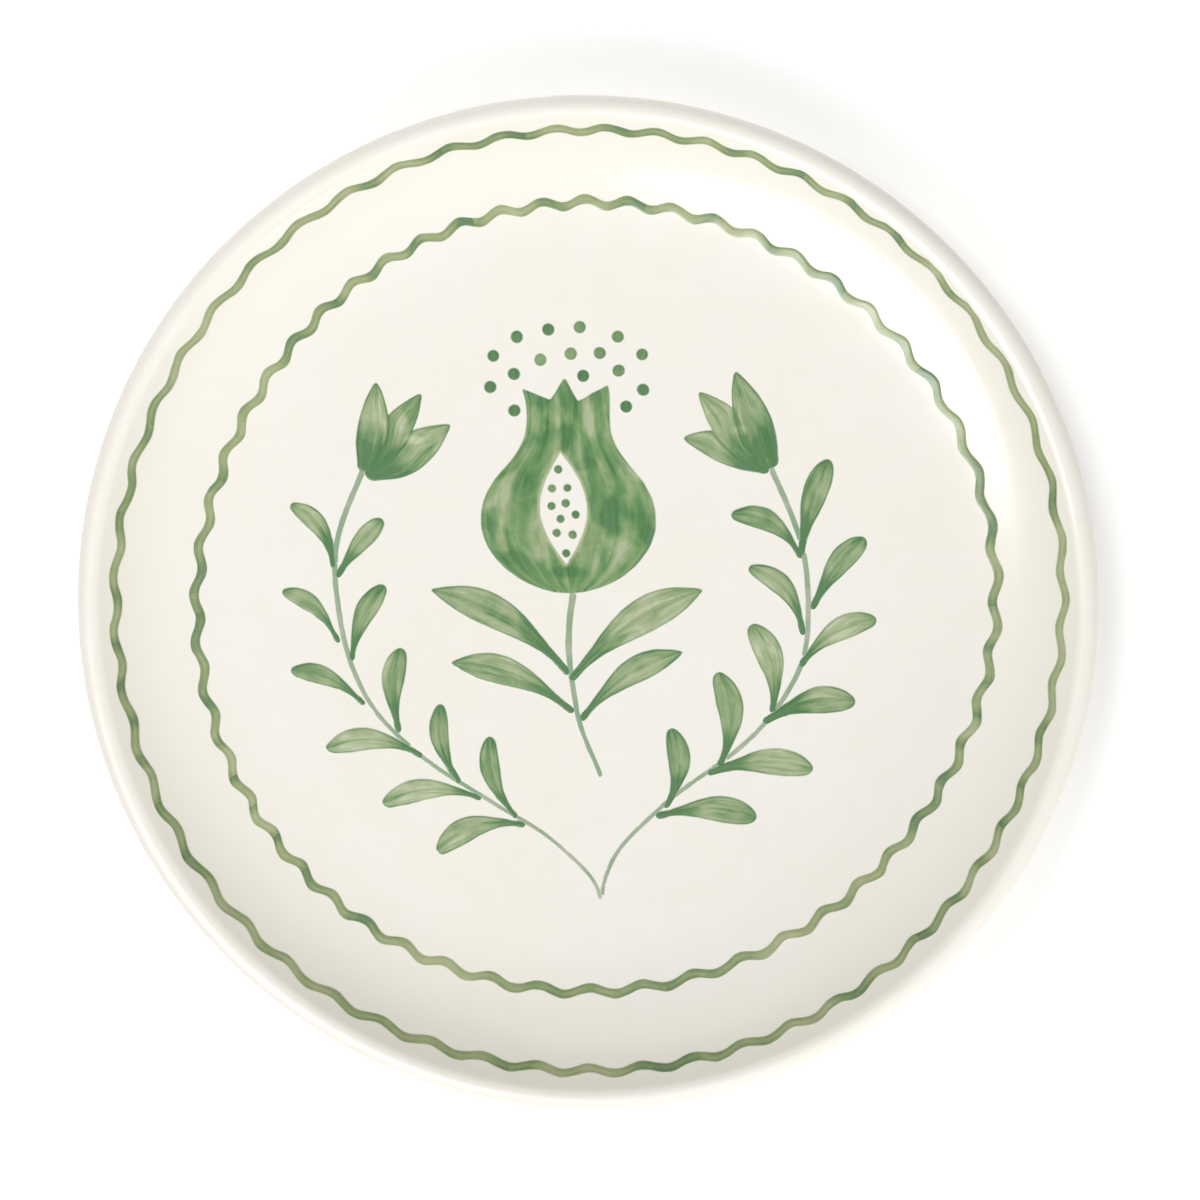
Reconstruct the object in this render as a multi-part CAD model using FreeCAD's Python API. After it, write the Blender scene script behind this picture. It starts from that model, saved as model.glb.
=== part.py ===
import FreeCAD, Part
import math
import os

# A hand-painted coupe plate, in millimetres. The origin is the middle of the
# circle it stands on, +Z is up and +Y points to the top of the painted design.

# Clay body
PLATE_RADIUS = 135.0          # outermost radius over the glaze
WALL_THICKNESS = 6.4          # clay thickness of floor and wall alike
FLOOR_Z = 10.0                # top of the clay floor
CURVE_RADIUS = 80.0           # gentle curve where the floor turns up
CURVE_END_SLOPE = 14.0        # degrees
WALL_RADIUS = 36.0            # tighter curve of the wall
RIM_SLOPE = 46.0              # degrees, slope of the wall where the lip begins
FOOT_OUTER_RADIUS = 80.0
FOOT_INNER_RADIUS = 73.0
FOOT_EDGE_RADIUS = 1.2        # rounding of the two standing edges
FOOT_FILLET = 2.0             # hollow curve between the foot and the underside

# Glaze and paint
GLAZE_THICKNESS = 0.4
GLAZE_LINE_Z = 1.4            # the glaze stops here, so the foot stands on bare clay
PAINT_THICKNESS = 0.12

LIP_RADIUS = WALL_THICKNESS / 2
UNDERSIDE_Z = FLOOR_Z - WALL_THICKNESS
PAINT_Z = FLOOR_Z + GLAZE_THICKNESS

# The whole decoration was set by eye, so its middle is a little off the plate's axis
DECORATION_X = 0.8
DECORATION_Y = 1.4

# Two wavy lines round the wall. Each crest is a brush movement. The painter's hand
# wanders a little in and out, in millimetres, and the pace of the waves drifts a
# little, in waves: both are given as cosine and sine of one, two, three and four turns.
WAVES = 54
STROKE_WAVES = 3              # the brush is lifted and set down again after this many
POINTS_PER_WAVE = 8
INNER_LINE = {
    "radius": 105.5,
    "width": 2.5,
    "swing": 0.9,             # how far a crest stands from the mean radius
    "slope": (4.0, 20.0),     # degrees, the stretch of wall curve that carries it
    "wander": ((0.5, -0.8), (0.3, 1.1), (0.5, -0.2), (0.2, 0.2)),
    "phase": -0.31,
    "drift": ((-0.38, -0.27), (0.03, -0.13), (0.14, 0.07), (0.03, -0.11)),
}
OUTER_LINE = {
    "radius": 125.5,
    "width": 2.1,
    "swing": 0.7,
    "slope": (26.0, 46.0),
    "wander": ((-0.5, -0.6), (0.0, 0.7), (-0.1, 0.2), (-0.2, 0.1)),
    "phase": -0.54,
    "drift": ((0.15, 0.31), (0.11, -0.25), (0.12, -0.10), (0.07, 0.0)),
}

# Pomegranate: its outline is symmetrical about an upright axis
FRUIT_AXIS_X = -6.2
FRUIT_BASE_Y = 0.9
FRUIT_SIDE = (                # half width and height, from the base up to the crown
    (10.0, 3.1),
    (17.0, 7.6),
    (21.8, 14.0),
    (23.2, 21.2),
    (21.2, 28.4),
    (17.3, 33.8),
    (13.4, 38.8),
    (11.2, 44.5),
    (11.0, 49.5),
)
CROWN = (                     # points and notches, left to right, from the axis
    (-12.4, 55.5),
    (-4.8, 52.3),
    (-1.0, 58.4),
    (2.5, 52.0),
    (10.5, 56.5),
)
OPENING_TOP = (-8.3, 38.5)
OPENING_BOTTOM = (-6.7, 8.4)
OPENING_WIDTH = 12.6
OPENING_STATIONS = (0.15, 0.32, 0.5, 0.68, 0.85)
SEED_RADIUS = 1.1
SEEDS = (
    (-8.9, 33.9),
    (-10.6, 28.8),
    (-6.5, 29.0),
    (-10.7, 24.1),
    (-6.9, 24.9),
    (-4.3, 21.9),
    (-8.3, 20.7),
    (-9.3, 17.0),
    (-5.1, 16.5),
    (-6.8, 11.6),
)
CROWN_DOT_RADIUS = 1.6
CROWN_DOTS = (
    (-19.8, 69.1),
    (-11.5, 71.1),
    (-3.2, 71.7),
    (6.9, 69.3),
    (-26.1, 64.0),
    (-13.6, 63.0),
    (-5.6, 64.7),
    (2.1, 64.9),
    (13.3, 64.6),
    (-20.6, 59.2),
    (-2.3, 58.8),
    (7.1, 60.3),
    (-26.9, 55.7),
    (13.6, 55.2),
    (-20.5, 49.5),
    (9.1, 50.7),
)

# Stems: a line of points from the flower end, with the width at each end
STALK = (
    (-4.8, 0.8),
    (-6.0, -8.0),
    (-6.0, -16.0),
    (-4.8, -25.4),
    (-3.2, -33.8),
    (0.3, -43.0),
    (2.4, -47.9),
)
STALK_WIDTHS = (1.9, 1.2)
LEFT_STEM = (
    (-60.8, 33.0),
    (-65.0, 23.1),
    (-67.9, 13.2),
    (-68.3, 5.5),
    (-67.3, -4.5),
    (-65.5, -13.8),
    (-62.1, -23.5),
    (-56.7, -32.4),
    (-49.5, -39.7),
    (-41.0, -46.5),
    (-31.1, -52.6),
    (-22.1, -58.1),
    (-14.2, -62.7),
    (-5.9, -69.5),
    (1.3, -78.0),
    (2.3, -81.2),
)
RIGHT_STEM = (
    (47.4, 34.6),
    (52.1, 24.2),
    (56.2, 11.6),
    (57.3, 2.4),
    (57.4, -5.9),
    (55.8, -17.0),
    (53.0, -23.3),
    (46.0, -33.5),
    (35.2, -43.5),
    (22.6, -52.7),
    (13.1, -61.4),
    (7.1, -68.1),
    (3.6, -75.6),
    (2.6, -80.2),
)
BRANCH_STEM_WIDTHS = (1.6, 1.1)

# Leaves: base, tip, how far the midrib bows sideways, and the greatest width.
# A bow above zero goes to the left of the way from base to tip.
STALK_LEAVES = (
    ((-6.6, -20.3), (-43.0, 1.6), -3.9, 9.0),
    ((-5.3, -22.0), (29.7, 2.2), 3.3, 9.6),
    ((-5.9, -30.4), (-37.8, -17.9), -3.4, 7.9),
    ((-2.4, -32.6), (24.5, -14.5), 3.1, 7.2),
)
LEFT_BRANCH_LEAVES = (
    ((-68.7, 7.8), (-79.8, 24.2), -2.7, 5.4),
    ((-68.3, -11.5), (-82.3, 1.1), -2.4, 5.0),
    ((-61.7, -28.6), (-80.1, -20.2), -2.2, 5.4),
    ((-45.4, -43.1), (-70.9, -41.2), -3.4, 6.4),
    ((-30.0, -54.3), (-55.9, -56.0), -3.2, 6.2),
    ((-18.5, -61.4), (-41.4, -68.7), -3.4, 6.8),
    ((-67.5, 5.1), (-55.6, 20.4), 0.7, 5.2),
    ((-63.9, -17.2), (-55.2, 2.7), 1.8, 5.8),
    ((-51.4, -35.9), (-50.9, -14.1), 1.9, 6.2),
    ((-35.4, -49.9), (-40.4, -29.1), 2.3, 5.2),
    ((-20.3, -59.0), (-27.3, -37.7), 2.7, 5.4),
)
RIGHT_BRANCH_LEAVES = (
    ((55.4, 11.8), (62.6, 37.0), 1.0, 6.7),
    ((58.8, -2.2), (72.2, 16.3), 1.4, 6.5),
    ((55.6, -17.9), (75.3, -5.1), 2.7, 6.5),
    ((46.1, -33.1), (69.9, -27.2), 2.5, 7.4),
    ((31.3, -47.0), (58.8, -45.5), 2.5, 7.3),
    ((18.0, -58.7), (43.9, -58.7), 2.2, 7.2),
    ((55.1, 11.3), (37.0, 22.5), -3.5, 6.1),
    ((55.8, -8.9), (41.8, 8.4), -3.6, 5.9),
    ((48.0, -30.1), (42.6, -7.0), -2.7, 7.4),
    ((34.0, -44.8), (33.7, -19.9), -3.2, 7.2),
    ((19.9, -56.0), (21.3, -35.1), -2.6, 6.2),
)
LEAF_PEAK = 0.70              # where a branch leaf is widest, as a part of its length
STALK_LEAF_PEAK = 0.65
LEAF_BASE = 0.14              # width at the base, as a part of the greatest width
LEAF_STATIONS = (0.0, 0.16, 0.32, 0.48, 0.62, 0.76, 0.88, 0.96)

# Tulip petals, given as leaves are
PETAL_PEAK = 0.42
PETAL_BASE = 0.40
LEFT_PETALS = (
    ((-60.2, 33.2), (-57.2, 57.2), -0.8, 8.2),
    ((-59.6, 32.8), (-45.0, 54.0), 0.2, 8.4),
    ((-60.2, 32.6), (-37.3, 45.8), -1.1, 10.4),
)
RIGHT_PETALS = (
    ((47.4, 34.8), (37.8, 60.5), 0.1, 9.4),
    ((47.2, 35.0), (28.1, 54.9), 0.3, 9.4),
    ((47.2, 34.9), (23.8, 42.6), -1.3, 8.8),
)


def point(radius, z):
    """A point of the plate's cross section."""
    return FreeCAD.Vector(radius, 0, z)


def polar(centre, radius, slope):
    """The point of a section arc where the surface has this slope, below the centre."""
    angle = math.radians(slope)
    return point(centre.x + radius * math.sin(angle), centre.z - radius * math.cos(angle))


def section_arc(centre, radius, start_slope, end_slope):
    """An arc of the section, round its centre, between two slopes."""
    middle = polar(centre, radius, (start_slope + end_slope) / 2)
    arc = Part.Arc(polar(centre, radius, start_slope), middle, polar(centre, radius, end_slope))
    return arc.toShape()


def line(start, end):
    """A straight edge."""
    return Part.LineSegment(start, end).toShape()


def section_centres():
    """Centres of the floor curve, the wall curve and the lip."""
    lip_reach = math.sin(math.radians(RIM_SLOPE)) * (WALL_RADIUS + LIP_RADIUS)
    wall_reach = math.sin(math.radians(CURVE_END_SLOPE)) * (CURVE_RADIUS - WALL_RADIUS)
    lip_x = PLATE_RADIUS - GLAZE_THICKNESS - LIP_RADIUS
    curve = point(lip_x - lip_reach - wall_reach, FLOOR_Z + CURVE_RADIUS)
    wall = polar(curve, CURVE_RADIUS - WALL_RADIUS, CURVE_END_SLOPE)
    lip = polar(wall, WALL_RADIUS + LIP_RADIUS, RIM_SLOPE)
    return curve, wall, lip


def upper_edges(offset):
    """Section edges of the face, the lip and the back, this far outside the clay."""
    curve, wall, lip = section_centres()
    floor_z = FLOOR_Z + offset
    back = WALL_THICKNESS + offset
    return [
        line(point(0, floor_z), point(curve.x, floor_z)),
        section_arc(curve, CURVE_RADIUS - offset, 0, CURVE_END_SLOPE),
        section_arc(wall, WALL_RADIUS - offset, CURVE_END_SLOPE, RIM_SLOPE),
        section_arc(lip, LIP_RADIUS + offset, RIM_SLOPE + 180, RIM_SLOPE),
        section_arc(wall, WALL_RADIUS + back, RIM_SLOPE, CURVE_END_SLOPE),
        section_arc(curve, CURVE_RADIUS + back, CURVE_END_SLOPE, 0),
    ]


def foot_edges(offset, bottom_z, edge_radius):
    """Section edges of the underside and the foot ring, down to its standing edges."""
    curve = section_centres()[0]
    under_z = UNDERSIDE_Z - offset
    fillet = FOOT_FILLET - offset
    outer = FOOT_OUTER_RADIUS + offset
    inner = FOOT_INNER_RADIUS - offset
    outer_hollow = point(outer + fillet, under_z - fillet)
    inner_hollow = point(inner - fillet, under_z - fillet)
    side_z = bottom_z + edge_radius
    edges = [
        line(point(curve.x, under_z), point(outer_hollow.x, under_z)),
        section_arc(outer_hollow, fillet, 180, 270),
        line(point(outer, outer_hollow.z), point(outer, side_z)),
    ]
    if edge_radius > 0:
        outer_edge = point(outer - edge_radius, side_z)
        inner_edge = point(inner + edge_radius, side_z)
        edges.append(section_arc(outer_edge, edge_radius, 90, 0))
        edges.append(line(point(outer_edge.x, bottom_z), point(inner_edge.x, bottom_z)))
        edges.append(section_arc(inner_edge, edge_radius, 0, -90))
    else:
        edges.append(line(point(outer, bottom_z), point(inner, bottom_z)))
    edges.append(line(point(inner, side_z), point(inner, inner_hollow.z)))
    edges.append(section_arc(inner_hollow, fillet, 90, 180))
    edges.append(line(point(inner_hollow.x, under_z), point(0, under_z)))
    edges.append(line(point(0, under_z), point(0, FLOOR_Z + offset)))
    return edges


def revolved(edges):
    """A full turn of a closed section about the plate's axis."""
    face = Part.Face(Part.Wire(edges))
    return face.revolve(FreeCAD.Vector(0, 0, 0), FreeCAD.Vector(0, 0, 1), 360)


def clay_body():
    """The fired clay: floor, wall, lip and foot ring in one piece."""
    return revolved(upper_edges(0) + foot_edges(0, 0, FOOT_EDGE_RADIUS))


def glaze_layers(clay):
    """The glaze outside the foot ring, and the separate pool of glaze inside it."""
    edges = upper_edges(GLAZE_THICKNESS) + foot_edges(GLAZE_THICKNESS, GLAZE_LINE_Z, 0)
    layers = revolved(edges).cut(clay).Solids
    layers.sort(key=lambda solid: solid.BoundBox.XLength)
    return layers[-1], layers[0]


def placed(plan):
    """A plan point of the decoration, at the height of the paint."""
    return FreeCAD.Vector(plan[0] + DECORATION_X, plan[1] + DECORATION_Y, PAINT_Z)


def curve_through(points):
    """A smooth curve through plan points."""
    spline = Part.BSplineCurve()
    spline.interpolate([placed(plan) for plan in points])
    return spline


def smooth_edge(points):
    """A smooth edge through plan points."""
    return curve_through(points).toShape()


def flat_line(start, end):
    """A straight edge between two plan points."""
    return line(placed(start), placed(end))


def patch(edges):
    """A patch of the flat floor, from the closed edges of its outline."""
    return Part.Face(Part.Wire(edges))


def painted(faces):
    """Paint laid on patches of the floor, one solid for each."""
    up = FreeCAD.Vector(0, 0, PAINT_THICKNESS)
    return Part.makeCompound([face.extrude(up) for face in faces])


def dot(plan, radius):
    """A round dab of the brush."""
    circle = Part.Circle(placed(plan), FreeCAD.Vector(0, 0, 1), radius)
    return patch([circle.toShape()])


def midrib_point(stroke, part, side):
    """A plan point at this part of a leaf's length, this far to the left of its midrib."""
    base, tip, bow, _ = stroke
    along_x = tip[0] - base[0]
    along_y = tip[1] - base[1]
    length = math.hypot(along_x, along_y)
    reach = (4 * bow * part * (1 - part) + side) / length
    x = base[0] + along_x * part - along_y * reach
    y = base[1] + along_y * part + along_x * reach
    return x, y


def slow_swell(part, peak):
    """Width of the first stretch of a leaf, narrow for a while and then swelling."""
    return LEAF_BASE + (1 - LEAF_BASE) * (1 - math.cos(math.pi * part / peak)) / 2


def quick_swell(part, peak):
    """Width of the first stretch of a petal, which is broad almost from its base."""
    return PETAL_BASE + (1 - PETAL_BASE) * math.sin(math.pi / 2 * part / peak)


def round_end(part, peak):
    """Width from the widest place to a round tip."""
    return math.sqrt(1 - ((part - peak) / (1 - peak)) ** 2)


def pointed_end(part, peak):
    """Width from the widest place to a point."""
    return 1 - ((part - peak) / (1 - peak)) ** 2


def leaf_sides(stroke, peak, swell, end):
    """Plan points of a leaf's left and right sides, from the base, without the tip."""
    left = []
    right = []
    for part in LEAF_STATIONS:
        width = stroke[3] * (end(part, peak) if part > peak else swell(part, peak))
        left.append(midrib_point(stroke, part, width / 2))
        right.append(midrib_point(stroke, part, -width / 2))
    return left, right


def round_leaf(stroke):
    """A round-ended leaf of a branch."""
    left, right = leaf_sides(stroke, LEAF_PEAK, slow_swell, round_end)
    sides = smooth_edge(left + [stroke[1]] + right[::-1])
    return patch([sides, flat_line(right[0], left[0])])


def pointed_leaf(stroke, peak, swell):
    """A leaf or a petal whose two sides meet in a point."""
    left, right = leaf_sides(stroke, peak, swell, pointed_end)
    left_side = smooth_edge(left + [stroke[1]])
    right_side = smooth_edge([stroke[1]] + right[::-1])
    return patch([left_side, right_side, flat_line(right[0], left[0])])


def stem(points, widths):
    """A stem along a curve, narrowing evenly from its first width to its last."""
    centre = curve_through(points)
    first = centre.FirstParameter
    last = centre.LastParameter
    steps = 3 * len(points)
    left = []
    right = []
    for step in range(steps + 1):
        part = step / steps
        parameter = first + (last - first) * part
        place = centre.value(parameter) - placed((0, 0))
        along = centre.tangent(parameter)[0]
        half = (widths[0] + (widths[1] - widths[0]) * part) / 2
        left.append((place.x - along.y * half, place.y + along.x * half))
        right.append((place.x + along.y * half, place.y - along.x * half))
    return patch(strip_edges(right, left))


def strip_edges(first, second):
    """The outline of a strip between two sides, both given from its start."""
    return [
        smooth_edge(first),
        flat_line(first[-1], second[-1]),
        smooth_edge(second[::-1]),
        flat_line(second[0], first[0]),
    ]


def uncovered(faces, covering):
    """What is left of the faces where the covering ones don't lie over them."""
    left = []
    for face in faces:
        left += face.cut(covering).Faces
    return left


def kept_apart(faces):
    """The faces, each with the ones before it cut away, so that none overlap."""
    done = [faces[0]]
    for face in faces[1:]:
        done += uncovered([face], done)
    return done


def pomegranate_fruit():
    """The fruit with its three-pointed crown and the almond opening cut in it."""
    right = [(FRUIT_AXIS_X + half, y) for half, y in FRUIT_SIDE]
    left = [(FRUIT_AXIS_X - half, y) for half, y in FRUIT_SIDE]
    crown = [(FRUIT_AXIS_X + x, y) for x, y in CROWN]
    body = left[::-1] + [(FRUIT_AXIS_X, FRUIT_BASE_Y)] + right
    edges = [smooth_edge([crown[0]] + body + [crown[-1]])]
    edges += [flat_line(start, end) for start, end in zip(crown[::-1], crown[-2::-1])]
    return uncovered([patch(edges)], [opening()])


def opening():
    """The almond-shaped window that shows the seeds."""
    stroke = (OPENING_BOTTOM, OPENING_TOP, 0, OPENING_WIDTH)
    left = []
    right = []
    for part in OPENING_STATIONS:
        half = OPENING_WIDTH / 2 * math.sin(math.pi * part)
        left.append(midrib_point(stroke, part, half))
        right.append(midrib_point(stroke, part, -half))
    left_side = smooth_edge([OPENING_BOTTOM] + left + [OPENING_TOP])
    right_side = smooth_edge([OPENING_TOP] + right[::-1] + [OPENING_BOTTOM])
    return patch([left_side, right_side])


def dots(places, radius):
    """A scatter of round dabs."""
    return [dot(plan, radius) for plan in places]


def tulip(petals):
    """Three petals, run together at their base."""
    return kept_apart([pointed_leaf(petal, PETAL_PEAK, quick_swell) for petal in petals])


def harmonics(terms, angle):
    """The sum of cosine and sine terms of one, two, three and more turns."""
    total = 0.0
    for order, (cosine, sine) in enumerate(terms, start=1):
        total += cosine * math.cos(order * angle) + sine * math.sin(order * angle)
    return total


def wavy_radius(spec, angle):
    """Radius of a wavy line's middle at this angle, from the middle of the decoration."""
    wave = WAVES * angle / (2 * math.pi) + spec["phase"] + harmonics(spec["drift"], angle)
    mean = spec["radius"] + harmonics(spec["wander"], angle)
    return mean + spec["swing"] * math.cos(2 * math.pi * wave)


def wavy_points(spec, start, shift):
    """Plan points along one brush stroke of a wavy line, shifted outwards from its middle."""
    points = []
    for index in range(STROKE_WAVES * POINTS_PER_WAVE + 1):
        angle = start + 2 * math.pi * index / (WAVES * POINTS_PER_WAVE)
        radius = wavy_radius(spec, angle) + shift
        points.append((radius * math.cos(angle), radius * math.sin(angle)))
    return points


def wavy_stroke(spec, start):
    """An upright prism over one brush stroke of a wavy line, taller than the plate."""
    outside = wavy_points(spec, start, spec["width"] / 2)
    inside = wavy_points(spec, start, -spec["width"] / 2)
    outline = Part.Wire(strip_edges(outside, inside))
    return Part.Face(outline).extrude(FreeCAD.Vector(0, 0, 2 * FLOOR_Z))


def wavy_line(spec, centre, clay_radius):
    """A wavy line of paint, stroke after stroke, on the glazed arc round this centre."""
    low, high = spec["slope"]
    under = clay_radius - GLAZE_THICKNESS
    over = under - PAINT_THICKNESS
    layer = revolved([
        section_arc(centre, over, low, high),
        line(polar(centre, over, high), polar(centre, under, high)),
        section_arc(centre, under, high, low),
        line(polar(centre, under, low), polar(centre, over, low)),
    ])
    strokes = WAVES // STROKE_WAVES
    starts = [2 * math.pi * index / strokes for index in range(strokes)]
    return Part.makeCompound([wavy_stroke(spec, start).common(layer) for start in starts])


def main():
    """Builds every sub-part and writes one STEP file for each."""
    clay = clay_body()
    glaze, foot_pool = glaze_layers(clay)
    curve, wall, _ = section_centres()
    fruit = pomegranate_fruit()
    left_tulip = tulip(LEFT_PETALS)
    right_tulip = tulip(RIGHT_PETALS)
    left_leaves = kept_apart([round_leaf(leaf) for leaf in LEFT_BRANCH_LEAVES])
    right_leaves = kept_apart([round_leaf(leaf) for leaf in RIGHT_BRANCH_LEAVES])
    stalk_leaves = kept_apart([pointed_leaf(leaf, STALK_LEAF_PEAK, slow_swell) for leaf in STALK_LEAVES])

    # Where strokes cross, the stems give way to the leaves and flowers
    stalk = uncovered([stem(STALK, STALK_WIDTHS)], stalk_leaves + fruit)
    left_stem = uncovered([stem(LEFT_STEM, BRANCH_STEM_WIDTHS)], left_leaves + left_tulip)
    right_stem = uncovered(
        [stem(RIGHT_STEM, BRANCH_STEM_WIDTHS)],
        right_leaves + right_tulip + left_stem,
    )

    nodes = {
        "clay_body": clay,
        "glaze_coat": glaze,
        "foot_well_glaze": foot_pool,
        "outer_wavy_line": wavy_line(OUTER_LINE, wall, WALL_RADIUS),
        "inner_wavy_line": wavy_line(INNER_LINE, curve, CURVE_RADIUS),
        "pomegranate_fruit": painted(fruit),
        "pomegranate_seeds": painted(dots(SEEDS, SEED_RADIUS)),
        "crown_dots": painted(dots(CROWN_DOTS, CROWN_DOT_RADIUS)),
        "pomegranate_stalk": painted(stalk),
        "stalk_leaves": painted(stalk_leaves),
        "left_branch_stem": painted(left_stem),
        "left_branch_leaves": painted(left_leaves),
        "left_tulip": painted(left_tulip),
        "right_branch_stem": painted(right_stem),
        "right_branch_leaves": painted(right_leaves),
        "right_tulip": painted(right_tulip),
    }
    os.makedirs("parts", exist_ok=True)
    for name, shape in nodes.items():
        shape.exportStep(os.path.join("parts", name + ".step"))
        print(name, "valid" if shape.isValid() else "INVALID", len(shape.Solids), "solids")


main()
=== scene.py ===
import math
import random

import bpy
import numpy as np
from mathutils import Matrix, Vector, geometry, noise


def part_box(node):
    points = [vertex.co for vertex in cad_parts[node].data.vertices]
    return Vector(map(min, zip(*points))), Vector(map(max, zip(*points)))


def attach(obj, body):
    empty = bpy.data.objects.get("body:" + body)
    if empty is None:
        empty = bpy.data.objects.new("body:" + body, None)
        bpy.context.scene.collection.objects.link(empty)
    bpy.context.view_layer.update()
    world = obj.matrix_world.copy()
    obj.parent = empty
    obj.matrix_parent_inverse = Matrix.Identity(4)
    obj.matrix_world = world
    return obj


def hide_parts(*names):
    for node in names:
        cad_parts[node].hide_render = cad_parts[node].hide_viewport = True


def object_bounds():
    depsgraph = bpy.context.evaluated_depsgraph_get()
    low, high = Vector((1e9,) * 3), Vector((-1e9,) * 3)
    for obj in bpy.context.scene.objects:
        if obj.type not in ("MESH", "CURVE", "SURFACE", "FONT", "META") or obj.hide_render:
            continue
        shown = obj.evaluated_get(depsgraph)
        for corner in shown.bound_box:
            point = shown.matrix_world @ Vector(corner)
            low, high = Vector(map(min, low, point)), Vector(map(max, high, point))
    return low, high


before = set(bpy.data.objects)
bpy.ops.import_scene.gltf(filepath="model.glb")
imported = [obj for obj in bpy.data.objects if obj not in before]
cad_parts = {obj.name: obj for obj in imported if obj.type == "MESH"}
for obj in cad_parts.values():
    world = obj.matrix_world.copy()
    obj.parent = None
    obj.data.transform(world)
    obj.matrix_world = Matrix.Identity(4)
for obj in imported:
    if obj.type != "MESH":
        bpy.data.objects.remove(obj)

# The hand-painted plate, in metres. Every outline and height comes from the CAD frame:
# this script lays a finer glaze and finer brush strokes over it and gives them materials.

MM = 0.001
cad_low, cad_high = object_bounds()
random.seed(11)

# Fineness of the meshes
TURNS = 360                  # stations round the plate
WAVE_STATIONS = 1296         # stations round a wavy line
LINE_ROWS = (0.0, 0.09, 0.2, 0.34, 0.5, 0.66, 0.8, 0.91, 1.0)    # its points across
FLAT_STEP = 2.2 * MM         # spacing of the glaze's rings on the floor and the back
CURVE_STEP = 1.1 * MM        # and where the face curves
EDGE_STEP = 0.4 * MM         # and on the lip and the foot
OUTLINE_STEP = 0.45 * MM     # spacing of points along a brush stroke's outline
INNER_STEP = 0.6 * MM        # and inside it
STROKE_STATIONS = 60         # places along a stroke where its width is taken

# Reading the CAD meshes
SAME_PLACE = 0.001 * MM      # points nearer than this are one point
NEAR_AXIS = 1.0 * MM         # a section is read no nearer to the axis than this
LONG_CHORD = 8.0 * MM        # the CAD's chords are longer than this where the glaze is flat
SHORT_CHORD = 1.0 * MM       # and shorter than this on the lip and the foot
CORNER_COSINE = 0.8          # a section that turns more than this has a corner there
LEAST_SPACING = 0.4          # an outline's points are this part of a step apart or more
EDGE_CLEAR = 0.5             # and a point inside it is this part of a step from it
FAR_AWAY = 1.0               # farther than any two points of the plate
CDT_INSIDE = 1               # Blender's number for a triangulation of the outline's inside
CDT_EPSILON = 1e-5
GLAZE_SMOOTH = math.radians(50)      # edges that turn more than this stay sharp
STROKE_SMOOTH = math.radians(60)
SEED_SPACING = 40            # each stroke's wander is taken from its own layer of the noise

# The glaze flowed a little in the kiln: length and height of its waves
WAVE_HEIGHTS = ((34.0 * MM, 0.055 * MM), (11.0 * MM, 0.012 * MM))
LIP_FADE = 9.0 * MM          # and they die out over this distance from the lip's crest

# A stroke's outline: the paint bled a little out of the CAD's, by this much
EDGE_BLEED = 0.16 * MM
STEM_BLEED = 0.03 * MM       # a stem is drawn with the tip of the brush
PETAL_BLEED = 0.26 * MM      # petals run into one another
LINE_BLEED = 0.13 * MM
EDGE_WOBBLE = 0.13 * MM      # and its edge wanders, because a brush never runs dead true
WOBBLE_LENGTH = 2.6 * MM
ROUNDING = 2                 # smoothing passes that take the sharpness off its corners
PETAL_ROUNDING = 6           # and off those of a petal, which has a round base
LINE_WOBBLE = 1.5            # a wavy line wanders this many times more
OUTER_WANDER = 100 * MM      # its two edges wander as circles of these radii cross the noise
INNER_WANDER = 80 * MM
LEAST_TURN = 0.0015          # a wavy line's outline turns by less only across its ends

# A stroke's ends, where it meets a neighbour
BASE_REACH = 0.45 * MM       # a leaf's base reaches this far past the stem's edge
STEM_REACH = 0.5 * MM        # and a stem's ends this far past the CAD's
END_LENGTH = 2.2 * MM        # this much of the stroke is drawn out for it
BASE_SPREAD = 0.30 * MM      # a leaf's base is this much wider each side, as the brush is
SPREAD_LENGTH = 9.0 * MM     # and the extra width fades out over this length

# A stroke's thickness
STROKE_FLOAT = 0.015 * MM    # the thin edge of a stroke over the glaze
STROKE_DOME = 0.085 * MM     # how much further the middle stands
STROKE_SHOULDER = 0.8 * MM   # the paint is full this far from its edge
STROKE_DEPTH = 0.05 * MM     # how far a stroke reaches down into the glaze
NARROWEST = 0.3              # streaks close up no further than this part of the full width

# Camera: nearly straight above, leaning a little to the right and to the top
CAMERA_LEAN_X = math.radians(3.5)
CAMERA_LEAN_Y = math.radians(7.5)
CAMERA_DISTANCE = 2.0
CAMERA_LENS = 227.9
CAMERA_AIM_X = 3.8 * MM
CAMERA_AIM_Y = 2.3 * MM

# Studio
FLOOR_REACH = 3.0            # from the plate's axis to the floor's sides
FLOOR_GAP = 0.02 * MM
FLOOR_GLOW = 0.185
SKY_COLOUR = (1.0, 0.99, 0.975, 1.0)
SKY_STRENGTH = 0.226

# Glaze and clay as linear colours
IVORY = (0.905, 0.872, 0.800)
WARM_IVORY = (0.885, 0.836, 0.738)
COOL_IVORY = (0.900, 0.880, 0.822)
WALL_IVORY = (0.895, 0.864, 0.745)
# painted light: the lip's glaze is a little lighter than the face, standing in for light on the lip
LIP_PAINTED_LIGHT = (0.925, 0.888, 0.818)
SPECK = (0.19, 0.16, 0.12)
DARK_SAND = (0.46, 0.33, 0.21)
SAND = (0.60, 0.46, 0.31)
PALE_SAND = (0.69, 0.56, 0.41)
CLAY_STAIN = (0.50, 0.33, 0.20)
GRIT = (0.26, 0.19, 0.13)

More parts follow.
